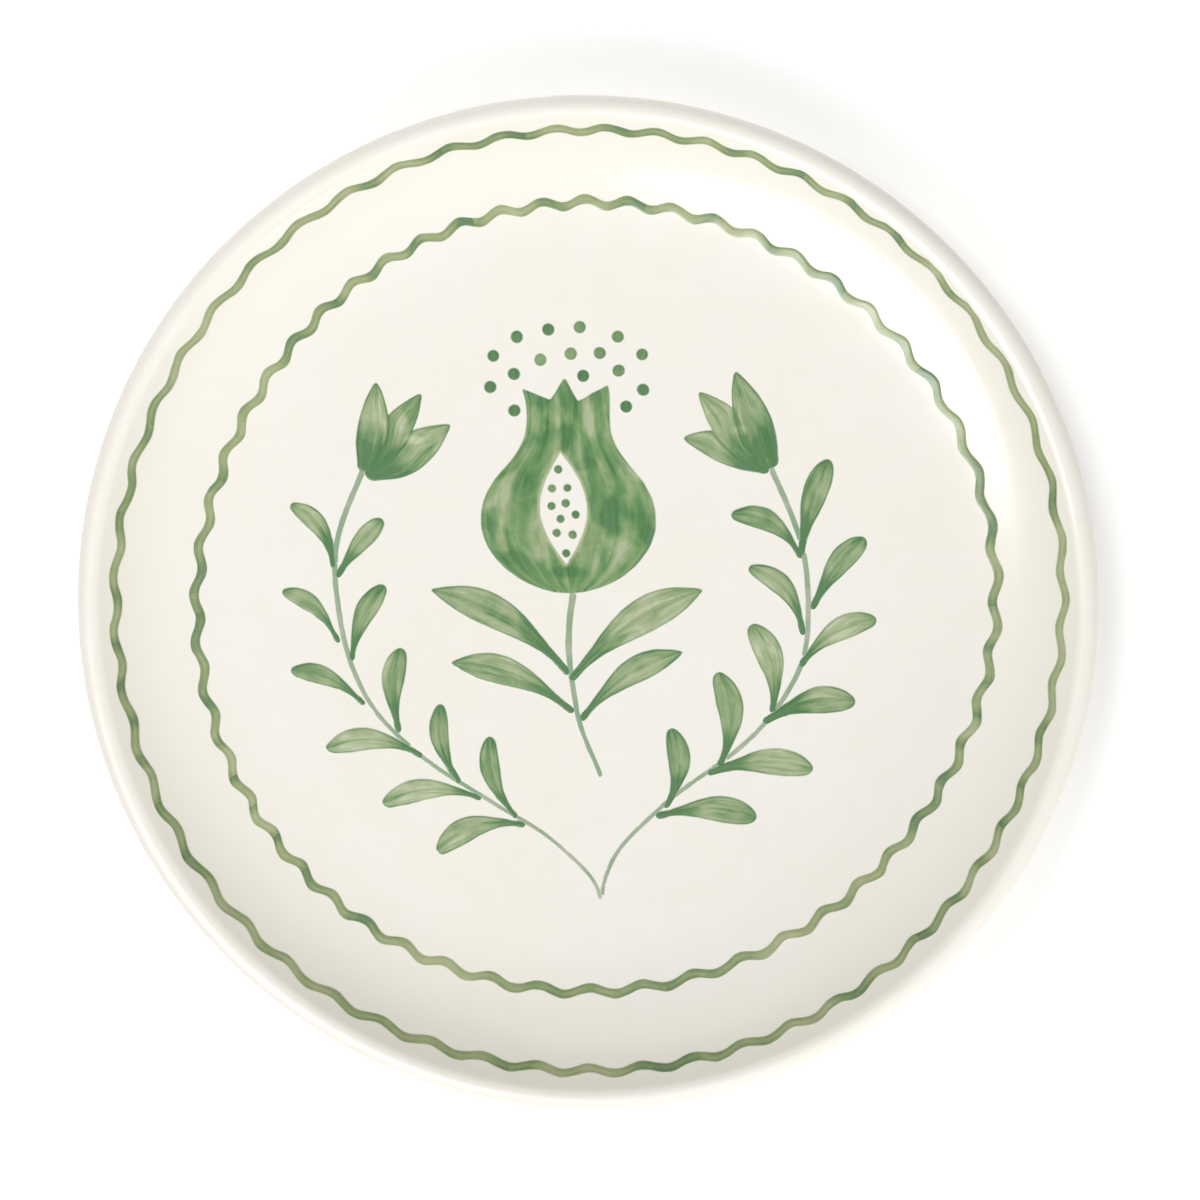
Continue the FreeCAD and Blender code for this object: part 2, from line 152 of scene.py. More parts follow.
# Where the glaze changes on its way out, from one distance from the axis to another
WALL_TINT = (98.0 * MM, 124.0 * MM)
# the band over which the lip is painted lighter, as painted light
LIP_LIGHT_BAND = (126.0 * MM, 132.0 * MM)
LIP_DULLING = (129.0 * MM, 132.5 * MM)
GLAZE_ROUGHNESS = (0.15, 0.22)
LIP_ROUGHER = 0.20
RIPPLE_HEIGHT = 0.03 * MM
PINHOLE_DEPTH = 0.05 * MM
GRAIN_HEIGHT = 0.25 * MM     # of the bare clay
GLAZE_IOR = 1.5
CLAY_IOR = 1.45

# Paint as linear colours
DEEP_GREEN = (0.046, 0.182, 0.044)
FRUIT_GREEN = (0.104, 0.256, 0.072)
LEAF_GREEN = (0.155, 0.285, 0.100)
MOSS_GREEN = (0.195, 0.330, 0.125)
OLIVE_GREEN = (0.290, 0.385, 0.190)
PALE_OLIVE = (0.385, 0.465, 0.265)
CREAM_WASH = (0.520, 0.565, 0.390)
LINE_DEEP = (0.070, 0.175, 0.052)
LINE_GREEN = (0.152, 0.252, 0.078)
LINE_OLIVE = (0.275, 0.340, 0.140)
LINE_PALE = (0.400, 0.440, 0.240)
STEM_TEAL = (0.170, 0.330, 0.185)
STEM_GREEN = (0.250, 0.375, 0.220)
STEM_GREY = (0.400, 0.430, 0.320)

# Where in a stroke its effects fade in or out: parts of its length, or distances from its edge
START_PART = (0.05, 0.14)
TIP_PART = (0.80, 0.97)
RIM_WIDTH = (0.28 * MM, 0.85 * MM)
HOLE_WIDTH = (0.55 * MM, 1.15 * MM)
HOLE_CLEAR = (1.2 * MM, 2.0 * MM)
THIN_LINES = (0.57, 0.64)    # the part of the fine streaks' noise that is a dark line
LEAST_COVER = 0.15           # what a stroke hides at its very edge
STREAK_COVER = 0.08          # and this much less of the glaze is hidden between fine streaks

# The strokes that make up a wavy line
UNEVEN_WAVES = ((3.0, 1.5), (5.0, 0.8))    # waves round the plate, and strokes they shift
STROKE_MARGIN = 4.0          # more than they shift, so that no stroke's count is below 0
LINE_RADIUS = 120.0 * MM     # turns an angle into a distance along the line


# ---------------------------------------------------------------- reading the frame

def welded(name):
    """Points and triangles of a CAD node, with points at the same place joined."""
    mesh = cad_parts[name].data
    mesh.calc_loop_triangles()
    places = np.array([vertex.co for vertex in mesh.vertices], float)
    triangles = np.array([triangle.vertices for triangle in mesh.loop_triangles])
    keys = np.round(places / SAME_PLACE).astype(np.int64)
    _, first, kept_as = np.unique(keys, axis=0, return_index=True, return_inverse=True)
    triangles = kept_as.ravel()[triangles]
    whole = (triangles[:, 0] != triangles[:, 1]) & (triangles[:, 1] != triangles[:, 2])
    whole &= triangles[:, 2] != triangles[:, 0]
    return places[first], triangles[whole]


def solids(triangles):
    """The triangles of each solid: a solid ends where every edge has met its opposite."""
    found = []
    start = 0
    unmet = set()
    for index, (a, b, c) in enumerate(triangles.tolist()):
        for edge in ((a, b), (b, c), (c, a)):
            if edge[::-1] in unmet:
                unmet.remove(edge[::-1])
            else:
                unmet.add(edge)
        if not unmet:
            found.append(triangles[start:index + 1])
            start = index + 1
    return found


def perimeter(loop):
    """Length round a closed loop of points."""
    return np.linalg.norm(loop - np.roll(loop, -1, axis=0), axis=1).sum()


def top_loops(places, triangles):
    """Outlines of a stroke's upper side, anticlockwise, the longest first."""
    heights = places[:, 2] - glaze_height(places[:, 0], places[:, 1], True)
    upper = (heights > PAINT_THICKNESS / 2)[triangles].all(axis=1)
    edges = set()
    for one, two, three in triangles[upper].tolist():
        edges |= {(one, two), (two, three), (three, one)}
    following = {start: end for start, end in edges if (end, start) not in edges}
    loops = []
    while following:
        start = min(following)
        current = following.pop(start)
        loop = [start]
        while current != start:
            loop.append(current)
            current = following.pop(current)
        outline = places[loop][:, :2]
        steps = np.linalg.norm(outline - np.roll(outline, -1, axis=0), axis=1)
        loops.append(outline[steps > SAME_PLACE])
    return sorted(loops, key=perimeter, reverse=True)


def strokes_of(name):
    """The outlines of each brush stroke of a CAD node: one loop, and more for holes."""
    places, triangles = welded(name)
    return [top_loops(places, solid) for solid in solids(triangles)]


def seam(name):
    """A turned node's closed section, as (radius, height), from the axis and back to it."""
    places, triangles = welded(name)
    on_seam = (np.abs(places[:, 1]) < SAME_PLACE) & (places[:, 0] > NEAR_AXIS)
    neighbours = {}
    for a, b, c in triangles.tolist():
        for one, two in ((a, b), (b, c), (c, a)):
            if on_seam[one] and on_seam[two]:
                neighbours.setdefault(one, set()).add(two)
                neighbours.setdefault(two, set()).add(one)
    ends = [index for index, near in neighbours.items() if len(near) == 1]
    current = max(ends, key=lambda index: places[index][2])
    path = [current]
    while True:
        ahead = [index for index in neighbours[current] if index not in path]
        if not ahead:
            break
        current = ahead[0]
        path.append(current)
    section = places[path][:, [0, 2]]
    return np.vstack([[0, section[0][1]], section, [0, section[-1][1]]])


# ---------------------------------------------------------------- the glaze

def unit(vectors):
    """Vectors at length one."""
    return vectors / np.linalg.norm(vectors, axis=-1, keepdims=True)


def tangents(section):
    """The way a section runs at each point, taken from the longer side at a join."""
    chords = np.diff(section, axis=0)
    lengths = np.linalg.norm(chords, axis=1)
    ways = unit(chords)
    result = [ways[0]]
    for index in range(1, len(ways)):
        before, after = lengths[index - 1], lengths[index]
        if before > 2 * after:
            result.append(ways[index - 1])
        elif after > 2 * before:
            result.append(ways[index])
        else:
            result.append(unit(ways[index - 1] * after + ways[index] * before))
    result.append(ways[-1])
    return np.array(result)


def refined(section, fine_from, fine_to):
    """A section with smooth points added between the CAD's, in the part that shows."""
    ways = tangents(section)
    points = [section[0]]
    for index in range(len(section) - 1):
        start, end = section[index], section[index + 1]
        chord = np.linalg.norm(end - start)
        step = CURVE_STEP if chord > SHORT_CHORD else EDGE_STEP
        if chord > LONG_CHORD:
            step = FLAT_STEP
        count = math.ceil(chord / step) if fine_from <= index < fine_to else 1
        least = min(ways[index] @ (end - start), ways[index + 1] @ (end - start))
        corner = least < CORNER_COSINE * chord
        for part in np.arange(1, count + 1) / count:
            if corner:
                points.append(start + (end - start) * part)
                continue
            points.append(
                (2 * part**3 - 3 * part**2 + 1) * start
                + (part**3 - 2 * part**2 + part) * chord * ways[index]
                + (3 * part**2 - 2 * part**3) * end
                + (part**3 - part**2) * chord * ways[index + 1]
            )
    return np.array(points)


def flow(x, y):
    """How far the glaze's surface stands above or below its true height here."""
    height = 0.0
    for length, depth in WAVE_HEIGHTS:
        height += depth * noise.noise(Vector((x / length, y / length, length / MM)))
    from_lip = (LIP_RADIUS - math.hypot(x, y)) / LIP_FADE
    return height * min(1.0, max(0.0, from_lip))


def glaze_height(x, y, still=False):
    """Height of the glaze's upper face at these points, without its waves if still."""
    level = np.interp(np.hypot(x, y), FACE[:, 0], FACE[:, 1])
    if still:
        return level
    return level + np.array([flow(*place) for place in zip(x, y)])


def new_piece(name, points, faces, attributes, smooth_angle, material):
    """A mesh object in the row frame, with vector attributes on its points."""
    mesh = bpy.data.meshes.new(name)
    mesh.from_pydata([tuple(point) for point in points], [], faces)
    for attribute, values in attributes.items():
        layer = mesh.attributes.new(attribute, "FLOAT_VECTOR", "POINT")
        layer.data.foreach_set("vector", np.asarray(values, np.float32).ravel())
    mesh.validate()
    mesh.shade_smooth()
    mesh.set_sharp_from_angle(angle=smooth_angle)
    mesh.materials.append(material)
    piece = bpy.data.objects.new(name, mesh)
    bpy.context.scene.collection.objects.link(piece)
    return piece


def turned(name, section, waved, material):
    """A section turned about the axis. It starts and ends on the axis."""
    points = []
    for index, (radius, height) in enumerate(section[1:-1], start=1):
        for turn in range(TURNS):
            angle = 2 * math.pi * turn / TURNS
            x = radius * math.cos(angle)
            y = radius * math.sin(angle)
            points.append((x, y, height + (flow(x, y) if index in waved else 0.0)))
    rows = len(section) - 2
    faces = []
    for row in range(rows - 1):
        for turn in range(TURNS):
            ahead = (turn + 1) % TURNS
            low, high = row * TURNS, (row + 1) * TURNS
            faces.append((low + turn, high + turn, high + ahead, low + ahead))
    for row, end in ((0, 0), (rows - 1, len(section) - 1)):
        lift = flow(0.0, 0.0) if end in waved else 0.0
        points.append((0.0, 0.0, section[end][1] + lift))
        for turn in range(TURNS):
            pair = (row * TURNS + turn, row * TURNS + (turn + 1) % TURNS)
            faces.append((len(points) - 1, *(pair if end == 0 else pair[::-1])))
    return new_piece(name, points, faces, {}, GLAZE_SMOOTH, material)


# ---------------------------------------------------------------- the brush strokes

def shifted(x, y, seed, amount):
    """A small wander, the same at the same place, for a hand-drawn edge."""
    place = Vector((x / WOBBLE_LENGTH, y / WOBBLE_LENGTH, SEED_SPACING * seed))
    return amount * noise.noise(place)


def resampled(loop, seed, bleed, ends, rounding):
    """A closed outline at an even spacing, made hand-drawn: it bleeds, wanders and is rounded.

    Each of the ends, a place and two lengths, is drawn out by one and widened by the other.
    """
    points = []
    for start, end in zip(loop, np.roll(loop, -1, axis=0)):
        count = max(1, round(np.linalg.norm(end - start) / OUTLINE_STEP))
        points += [start + (end - start) * part / count for part in range(count)]
    kept = [points[0]]
    for point in points[1:]:
        if np.linalg.norm(point - kept[-1]) > LEAST_SPACING * OUTLINE_STEP:
            kept.append(point)
    points = np.array(kept)
    ways = unit(np.roll(points, -1, axis=0) - np.roll(points, 1, axis=0))
    outwards = np.column_stack([ways[:, 1], -ways[:, 0]])
    amounts = bleed + np.array([shifted(x, y, seed, EDGE_WOBBLE) for x, y in points])
    moved = points + outwards * amounts[:, None]
    for end, length, spread in ends:
        away = np.linalg.norm(points - end, axis=1)
        way = unit(end - points[away < 2 * END_LENGTH].mean(axis=0))
        moved += np.clip(1 - away / END_LENGTH, 0, 1)[:, None] * way * length
        moved += np.clip(1 - away / SPREAD_LENGTH, 0, 1)[:, None] * outwards * spread
    for _ in range(rounding):
        moved = (np.roll(moved, 1, axis=0) + 2 * moved + np.roll(moved, -1, axis=0)) / 4
    return moved


def edge_distance(points, loops, others=()):
    """Distance from each point to the nearest outline that doesn't run into another stroke."""
    nearest = np.full(len(points), FAR_AWAY)
    for loop in loops:
        covered = np.zeros(len(loop), bool)
        for other in others:
            covered |= within((loop + np.roll(loop, -1, axis=0)) / 2, other)
        for start, end in zip(loop[~covered], np.roll(loop, -1, axis=0)[~covered]):
            along = end - start
            part = np.clip((points - start) @ along / (along @ along), 0, 1)
            away = np.linalg.norm(points - start - part[:, None] * along, axis=1)
            nearest = np.minimum(nearest, away)
    return nearest


def within(points, loops):
    """Whether each point is inside the outline and outside its holes."""
    inside = np.zeros(len(points), bool)
    for loop in loops:
        for (x1, y1), (x2, y2) in zip(loop, np.roll(loop, -1, axis=0)):
            crossed = (y1 > points[:, 1]) != (y2 > points[:, 1])
            rise = y2 - y1 if y2 != y1 else 1.0
            inside ^= crossed & (points[:, 0] < x1 + (x2 - x1) * (points[:, 1] - y1) / rise)
    return inside


def filled(loops):
    """Points and triangles that fill the outlines."""
    low = loops[0].min(axis=0)
    high = loops[0].max(axis=0)
    rows = []
    for row, y in enumerate(np.arange(low[1], high[1], INNER_STEP * math.sqrt(0.75))):
        x = np.arange(low[0] + (row % 2) * INNER_STEP / 2, high[0], INNER_STEP)
        rows.append(np.column_stack([x, np.full(len(x), y)]))
    inner = np.vstack(rows)
    inner = inner[within(inner, loops)]
    inner = inner[edge_distance(inner, loops) > EDGE_CLEAR * INNER_STEP]
    edges = []
    start = 0
    for loop in loops:
        count = len(loop)
        edges += [(start + index, start + (index + 1) % count) for index in range(count)]
        start += count
    points = np.vstack([*loops, inner]) / MM
    vectors = [Vector(point) for point in points]
    result = geometry.delaunay_2d_cdt(vectors, edges, [], CDT_INSIDE, CDT_EPSILON)
    places = np.array([tuple(point) for point in result[0]]) * MM
    triangles = np.array([face for face in result[2] if len(face) == 3])
    middles = places[triangles].mean(axis=1)
    return places, triangles[within(middles, loops)]


def stroke_lines(loop, points, base, tip):
    """Each point's part of the stroke's length, and its place along and across it.

    The place across is stretched to the stroke's full width, so that streaks follow its outline.
    """
    length = np.linalg.norm(tip - base)
    way = (tip - base) / length
    side = np.array([-way[1], way[0]])
    outline_along = (loop - base) @ way
    outline_side = (loop - base) @ side
    stations = np.linspace(outline_along.min(), outline_along.max(), STROKE_STATIONS)[1:-1]
    limits = []
    for station in stations:
        ahead = np.roll(outline_along, -1)
        crossing = (outline_along > station) != (ahead > station)
        part = (station - outline_along[crossing]) / (ahead - outline_along)[crossing]
        change = (np.roll(outline_side, -1) - outline_side)[crossing]
        sides = outline_side[crossing] + change * part
        limits.append((sides.min(), sides.max()))
    low, high = np.array(limits).T
    along = (points - base) @ way
    middle = np.interp(along, stations, (low + high) / 2)
    width = np.interp(along, stations, high - low)
    full = (high - low).max()
    across = ((points - base) @ side - middle) * full / np.maximum(width, NARROWEST * full)
    return np.clip(along / length, 0, 1), along, across


def farthest(loop, place):
    """The outline's farthest point from a place."""
    return loop[np.argmax(np.linalg.norm(loop - place, axis=1))]


def stroke_ends(loop, roots):
    """A stroke's first and last point: it starts where it is nearest to its root."""
    if roots is None:
        base = loop[np.argmin(loop[:, 1])]
    else:
        base = loop[np.argmin(edge_distance(loop, roots))]
    return base, farthest(loop, base)


def domed(x, y, edge):
    """Height of a stroke's upper side at points this far from its edge."""
    part = np.clip(edge / STROKE_SHOULDER, 0, 1)
    return glaze_height(x, y) + STROKE_FLOAT + STROKE_DOME * part * (2 - part)


def thickened(points, top, triangles):
    """A closed skin over the triangles: the top, a side all round, and the bottom."""
    count = len(points)
    bottom = glaze_height(points[:, 0], points[:, 1]) - STROKE_DEPTH
    places = np.vstack([np.column_stack([points, top]), np.column_stack([points, bottom])])
    faces = [tuple(face) for face in triangles]
    faces += [tuple(corner + count for corner in face[::-1]) for face in triangles]
    edges = set()
    for face in triangles:
        for one, two in zip(face, [*face[1:], face[0]]):
            edges.add((one, two))
    for one, two in sorted(edges):
        if (two, one) not in edges:
            faces.append((one, one + count, two + count, two))
    return places, faces


def joined(parts):
    """Several (points, faces, lines, spots) put together as one."""
    points, faces, lines, spots = [], [], [], []
    start = 0
    for part_points, part_faces, part_lines, part_spots in parts:
        points.append(part_points)
        faces += [tuple(corner + start for corner in face) for face in part_faces]
        lines.append(part_lines)
        spots.append(part_spots)
        start += len(part_points)
    return np.vstack(points), faces, np.vstack(lines), np.vstack(spots)


def joints(loop, roots):
    """A stroke's ends that run into its neighbours: place, drawn out by, widened by."""
    base, tip = stroke_ends(loop, roots)
    if roots is None:
        return [(base, STEM_REACH, 0.0), (tip, STEM_REACH, 0.0)]
    return [(base, edge_distance(base[None], roots)[0] + BASE_REACH, BASE_SPREAD)]


def brushed(name, material, root=None, bleed=EDGE_BLEED, joins=False, rounding=ROUNDING):
    """Replaces a paint node on the floor with finer strokes that know how they were drawn.

    The strokes start at the root, another paint node, or else at their lowest point.
    """
    roots = None if root is None else [loops[0] for loops in strokes_of(root)]
    drawn = []
    for loops in strokes_of(name):
        seed = random.random()
        ends = joints(loops[0], roots) if joins else []
        drawn.append((seed, [resampled(loop, seed, bleed, ends, rounding) for loop in loops]))
    parts = []
    for index, (seed, loops) in enumerate(drawn):
        others = [other for _, other in drawn[:index] + drawn[index + 1:]]
        points, triangles = filled(loops)
        top = domed(points[:, 0], points[:, 1], edge_distance(points, loops))
        rim = edge_distance(points, loops[:1])
        edge = edge_distance(points, loops, others)
        base, tip = stroke_ends(loops[0], roots)
        part, along, side = stroke_lines(loops[0], points, base, tip)
        places, faces = thickened(points, top, triangles.tolist())
        lines = np.column_stack([along, side, np.full(len(points), seed)])
        spots = np.column_stack([part, rim, edge])
        parts.append((places, faces, np.tile(lines, (2, 1)), np.tile(spots, (2, 1))))
    points, faces, lines, spots = joined(parts)
    attributes = {"stroke": lines, "spot": spots}
    piece = new_piece(name + "_paint", points, faces, attributes, STROKE_SMOOTH, material)
    shown(piece, name)


def shown(piece, node):
    """The piece stands for a CAD node: it moves with the plate's root body, and the node is hidden."""
    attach(piece, "root")
    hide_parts(node)


def line_sides(name):
    """Outer and inner radius of a wavy line at each station round the plate."""
    outer, inner = [], []
    for loops in strokes_of(name):
        loop = loops[0]
        ahead = np.roll(loop, -1, axis=0)
        angles = np.arctan2(loop[:, 1], loop[:, 0])
        turn = (np.arctan2(ahead[:, 1], ahead[:, 0]) - angles + math.pi) % (2 * math.pi) - math.pi
        forwards = turn > LEAST_TURN
        backwards = turn < -LEAST_TURN
        outer += [loop[forwards], ahead[forwards]]
        inner += [loop[backwards], ahead[backwards]]
    stations = 2 * math.pi * np.arange(WAVE_STATIONS) / WAVE_STATIONS
    sides = []
    for points in (np.vstack(outer), np.vstack(inner)):
        angles = np.arctan2(points[:, 1], points[:, 0]) % (2 * math.pi)
        order = np.argsort(angles)
        radii = np.hypot(points[:, 0], points[:, 1])
        sides.append(np.interp(stations, angles[order], radii[order], period=2 * math.pi))
    return stations, sides[0], sides[1]


def wavy_band(name, material):
    """Replaces a wavy line with one finer band all the way round."""
    stations, outer, inner = line_sides(name)
    seed = random.random()
    amount = LINE_WOBBLE * EDGE_WOBBLE
    ways = np.column_stack([np.cos(stations), np.sin(stations)])
    wander = [shifted(x, y, seed, amount) for x, y in ways * OUTER_WANDER]
    other = [shifted(x, y, seed, amount) for x, y in ways * INNER_WANDER]
    outer = outer + LINE_BLEED + np.array(wander)
    inner = inner - LINE_BLEED + np.array(other)
    rows = np.array(LINE_ROWS)
    radii = inner[:, None] + (outer - inner)[:, None] * rows
    x = (radii * np.cos(stations)[:, None]).ravel()
    y = (radii * np.sin(stations)[:, None]).ravel()
    width = (outer - inner)[:, None]
    edge = (np.minimum(rows, 1 - rows) * width).ravel()
    side = ((rows - 0.5) * width).ravel()
    columns = len(rows)
    faces = []
    for station in range(WAVE_STATIONS):
        here = station * columns
        ahead = (station + 1) % WAVE_STATIONS * columns
        for row in range(columns - 1):
            faces.append((here + row, here + row + 1, ahead + row + 1, ahead + row))
    points = np.column_stack([x, y])
    places, faces = thickened(points, domed(x, y, edge), faces)
    none = np.zeros(len(points))    # the shader works out where along the line a point is
    lines = np.tile(np.column_stack([none, side, none + seed]), (2, 1))
    spots = np.tile(np.column_stack([none, edge, edge]), (2, 1))
    attributes = {"stroke": lines, "spot": spots}
    piece = new_piece(name + "_paint", places, faces, attributes, STROKE_SMOOTH, material)
    shown(piece, name)


# ---------------------------------------------------------------- materials

class Shader:
    """A material's node tree, with short calls that add nodes and join them up."""

    def __init__(self, name):
        self.material = bpy.data.materials.new(name)
        self.material.use_nodes = True
        self.tree = self.material.node_tree
        self.surface = self.tree.nodes["Principled BSDF"]

    def link(self, value, socket):
        """Joins an output to a socket, or sets the socket's own value."""
        if isinstance(value, bpy.types.NodeSocket):
            self.tree.links.new(value, socket)
        else:
            socket.default_value = value

    def node(self, kind, **inputs):
        """A node with its inputs set by name."""
        made = self.tree.nodes.new("ShaderNode" + kind)
        for name, value in inputs.items():
            self.link(value, made.inputs[name.replace("_", " ")])
        return made

    def math(self, operation, *values):
        """One arithmetic step."""
        made = self.tree.nodes.new("ShaderNodeMath")
        made.operation = operation
        for value, socket in zip(values, made.inputs):
            self.link(value, socket)
        return made.outputs[0]

    def length(self, vector):
        """The length of a vector."""
        made = self.node("VectorMath", Vector=vector)
        made.operation = "LENGTH"
        return made.outputs["Value"]

    def place(self):
        """The point in the row frame, in metres."""
        return self.tree.nodes.new("ShaderNodeTexCoord").outputs["Object"]

    def split(self, vector):
        """The three numbers of a vector."""
        return self.node("SeparateXYZ", Vector=vector).outputs[:]

    def attribute(self, name):
        """The three numbers of a vector attribute."""
        made = self.tree.nodes.new("ShaderNodeAttribute")
        made.attribute_name = name
        return self.split(made.outputs["Vector"])

    def vector(self, x, y, z):
        """A vector of three numbers."""
        return self.node("CombineXYZ", X=x, Y=y, Z=z).outputs[0]

    def noise(self, vector, scale, detail=2.0, distortion=0.0):
        """Soft noise about one half, with this many cells to a metre."""
        numbers = {"Scale": scale, "Detail": detail, "Distortion": distortion}
        return self.node("TexNoise", Vector=vector, **numbers).outputs["Fac"]

    def cells(self, vector, scale):
        """Distance to the middle of the nearest cell, in cells, and its three random numbers."""
        made = self.node("TexVoronoi", Vector=vector, Scale=scale)
        numbers = self.node("SeparateColor", Color=made.outputs["Color"])
        return made.outputs["Distance"], numbers.outputs[:]

    def ramp(self, value, low, high, to_low=0.0, to_high=1.0):
        """A smooth step from one value to another."""
        made = self.tree.nodes.new("ShaderNodeMapRange")
        made.interpolation_type = "SMOOTHSTEP"
        self.link(value, made.inputs["Value"])
        for socket, number in zip(made.inputs[1:5], (low, high, to_low, to_high)):
            self.link(number, socket)
        return made.outputs[0]

    def blend(self, factor, one, two):
        """A mix of two colours."""
        made = self.tree.nodes.new("ShaderNodeMix")
        made.data_type = "RGBA"
        self.link(factor, made.inputs["Factor"])
        for colour, socket in ((one, made.inputs["A"]), (two, made.inputs["B"])):
            linked = isinstance(colour, bpy.types.NodeSocket)
            self.link(colour if linked else (*colour, 1.0), socket)
        return made.outputs["Result"]

    def steps(self, value, stops):
        """A colour ramp through (position, colour) stops."""
        made = self.node("ValToRGB", Fac=value)
        ramp = made.color_ramp
        while len(ramp.elements) < len(stops):
            ramp.elements.new(0.5)
        for element, (position, colour) in zip(ramp.elements, stops):
            element.position = position
            element.color = (*colour, 1.0)
        return made.outputs["Color"]

    def bump(self, height, distance, strength=1.0, normal=None):
        """A bump from a height between 0 and 1."""
        made = self.node("Bump", Height=height, Distance=distance, Strength=strength)
        if normal is not None:
            self.link(normal, made.inputs["Normal"])
        return made.outputs["Normal"]

    def finish(self, colour, roughness, normal, **numbers):
        """Sets the surface: linked colour, roughness and normal, and plain numbers."""
        self.link(colour, self.surface.inputs["Base Color"])
        self.link(roughness, self.surface.inputs["Roughness"])
        self.link(normal, self.surface.inputs["Normal"])
        for name, value in numbers.items():
            self.surface.inputs[name.replace("_", " ")].default_value = value
        return self.material


def from_axis(shader, place):
    """Distance from the plate's axis."""
    x, y, _ = shader.split(place)
    return shader.length(shader.vector(x, y, 0.0))


def glaze_colour(shader):
    """Ivory glaze: clouds of warmer and cooler cream, a lip painted a little lighter as painted light,
    and rare iron specks.
    """
    place = shader.place()
    clouds = shader.ramp(shader.noise(place, 26.0, 3.0), 0.35, 0.68)
    fine = shader.ramp(shader.noise(place, 160.0, 2.0), 0.3, 0.75)
    colour = shader.blend(clouds, IVORY, COOL_IVORY)
    colour = shader.blend(shader.math("MULTIPLY", fine, 0.25), colour, WARM_IVORY)
    radius = from_axis(shader, place)
    wall = shader.ramp(radius, *WALL_TINT, 0.0, 0.45)
    colour = shader.blend(wall, colour, WALL_IVORY)
    # painted light: the lip is made a little lighter, unevenly
    uneven = shader.ramp(shader.noise(place, 45.0, 3.0), 0.3, 0.7, 0.6, 1.0)
    lip_light = shader.math("MULTIPLY", shader.ramp(radius, *LIP_LIGHT_BAND), uneven)
    colour = shader.blend(lip_light, colour, LIP_PAINTED_LIGHT)
    away, numbers = shader.cells(place, 55.0)
    near = shader.ramp(away, 0.014, 0.030, 1.0, 0.0)
    rare = shader.ramp(numbers[0], 0.955, 0.965)
    return shader.blend(shader.math("MULTIPLY", near, rare), colour, SPECK)


def glaze_gloss(shader):
    """Roughness and normal of the fired glaze: a duller lip, faint ripples, a few pinholes."""
    place = shader.place()
    roughness = shader.ramp(shader.noise(place, 90.0, 3.0), 0.3, 0.7, *GLAZE_ROUGHNESS)
    duller = shader.ramp(from_axis(shader, place), *LIP_DULLING, 0.0, LIP_ROUGHER)
    roughness = shader.math("ADD", roughness, duller)
    ripple = shader.bump(shader.noise(place, 210.0, 2.0), RIPPLE_HEIGHT)
    away, numbers = shader.cells(place, 380.0)
    depth = shader.ramp(away, 0.03, 0.11, 1.0, 0.0)
    rare = shader.ramp(numbers[1], 0.93, 0.94)
    level = shader.math("SUBTRACT", 1.0, shader.math("MULTIPLY", rare, depth))
    return roughness, shader.bump(level, PINHOLE_DEPTH, 0.7, ripple)


def glaze_material():
    """The plain glaze."""
    shader = Shader("ivory_glaze")
    roughness, normal = glaze_gloss(shader)
    return shader.finish(glaze_colour(shader), roughness, normal, IOR=GLAZE_IOR)


def clay_material():
    """Bare fired clay on the standing edge: sandy, a little stained and gritty."""
    shader = Shader("bare_clay")
    place = shader.place()
    sand = shader.noise(place, 900.0, 4.0)
    stain = shader.ramp(shader.noise(place, 40.0, 4.0), 0.35, 0.7)
    colour = shader.steps(sand, ((0.3, DARK_SAND), (0.5, SAND), (0.7, PALE_SAND)))
    colour = shader.blend(shader.math("MULTIPLY", stain, 0.35), colour, CLAY_STAIN)
    away, _ = shader.cells(place, 1400.0)
    colour = shader.blend(shader.ramp(away, 0.12, 0.24, 0.55, 0.0), colour, GRIT)
    roughness = shader.ramp(stain, 0.0, 1.0, 0.78, 0.93)
    normal = shader.bump(sand, GRAIN_HEIGHT, 0.8)
    return shader.finish(colour, roughness, normal, IOR=CLAY_IOR)


def touch(shader, x, y, half_width, half_height):
    """A soft patch, 1 in its middle and 0 outside, where the brush stopped or was dry."""
    place_x, place_y, _ = shader.split(shader.place())
    aside = shader.math("DIVIDE", shader.math("SUBTRACT", place_x, x * MM), half_width * MM)
    above = shader.math("DIVIDE", shader.math("SUBTRACT", place_y, y * MM), half_height * MM)
    away = shader.length(shader.vector(aside, above, 0.0))
    return shader.ramp(away, 0.45, 1.35, 1.0, 0.0)


def round_strokes(shader, seed, strokes):
    """A wavy line's place along it, part of the stroke and the stroke's own number.

    The strokes are uneven: two slow waves round the plate lengthen some and shorten others.
    """
    x, y, _ = shader.split(shader.place())
    angle = shader.math("ARCTAN2", y, x)
    shift = shader.math("MULTIPLY", seed, 9.0)
    count = shader.math("MULTIPLY", angle, strokes / (2 * math.pi))
    for waves, depth in UNEVEN_WAVES:
        wave = shader.math("SINE", shader.math("MULTIPLY_ADD", angle, waves, shift))
        count = shader.math("MULTIPLY_ADD", wave, depth, count)
    count = shader.math("ADD", count, strokes + STROKE_MARGIN)
    number = shader.math("MODULO", shader.math("FLOOR", count), strokes)
    own = shader.math("FRACT", shader.math("MULTIPLY", shader.math("ADD", number, seed), 0.37))
    return shader.math("MULTIPLY", angle, LINE_RADIUS), shader.math("FRACT", count), own


